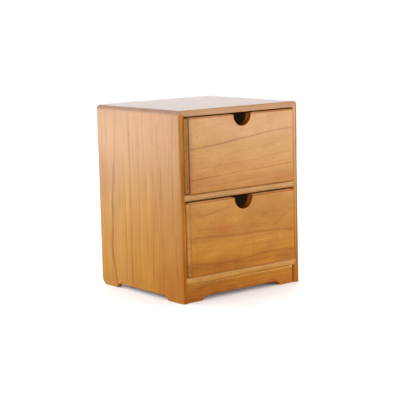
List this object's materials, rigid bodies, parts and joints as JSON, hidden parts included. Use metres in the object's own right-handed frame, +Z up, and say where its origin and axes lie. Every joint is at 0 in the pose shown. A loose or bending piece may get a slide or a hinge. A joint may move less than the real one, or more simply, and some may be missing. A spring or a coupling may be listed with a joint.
{
  "type": "desktop drawer cabinet",
  "caption": "Small lacquered wooden cabinet for a desk, with stacked pull-out drawers that have half-round finger notches, on shallow feet.",
  "frame": {"origin": "on the floor, at the centre of the bounding box of the whole object, with both drawers at rest", "axes": "+Z up, -Y out of the front, the way the drawers open, +X to the right as seen from the front"},
  "size_m": [0.198, 0.1852, 0.244],
  "materials": {
    "lacquered_pine": "clear gloss lacquer over straight-grained softwood",
    "front_wood": "clear gloss lacquer over honey-coloured softwood",
    "drawer_wood": "sanded and sealed pale softwood",
    "plywood": "thin sanded plywood",
    "dowel_wood": "bare hardwood dowel",
    "brad_steel": "bright wire"
  },
  "bodies": {
    "cabinet": {"top_panel": "lacquered_pine", "left_side_panel": "lacquered_pine", "right_side_panel": "lacquered_pine", "middle_shelf": "lacquered_pine", "bottom_panel": "lacquered_pine", "back_panel": "plywood", "front_plinth": "front_wood", "top_dowels": "dowel_wood", "plinth_dowels": "dowel_wood", "back_panel_brads": "brad_steel"},
    "upper_drawer": {"upper_drawer_front": "front_wood", "upper_drawer_left_side": "drawer_wood", "upper_drawer_right_side": "drawer_wood", "upper_drawer_back": "drawer_wood", "upper_drawer_bottom": "plywood", "upper_drawer_dowels": "dowel_wood", "upper_drawer_brads": "brad_steel"},
    "lower_drawer": {"lower_drawer_front": "front_wood", "lower_drawer_left_side": "drawer_wood", "lower_drawer_right_side": "drawer_wood", "lower_drawer_back": "drawer_wood", "lower_drawer_bottom": "plywood", "lower_drawer_dowels": "dowel_wood", "lower_drawer_brads": "brad_steel"}
  },
  "joints": [
    {"name": "upper_drawer_slide", "type": "slide", "parent": "cabinet", "child": "upper_drawer", "axis": [0, -1, 0], "range_m": [-0.0035, 0.145]},
    {"name": "lower_drawer_slide", "type": "slide", "parent": "cabinet", "child": "lower_drawer", "axis": [0, -1, 0], "range_m": [-0.0052, 0.145]}
  ]
}
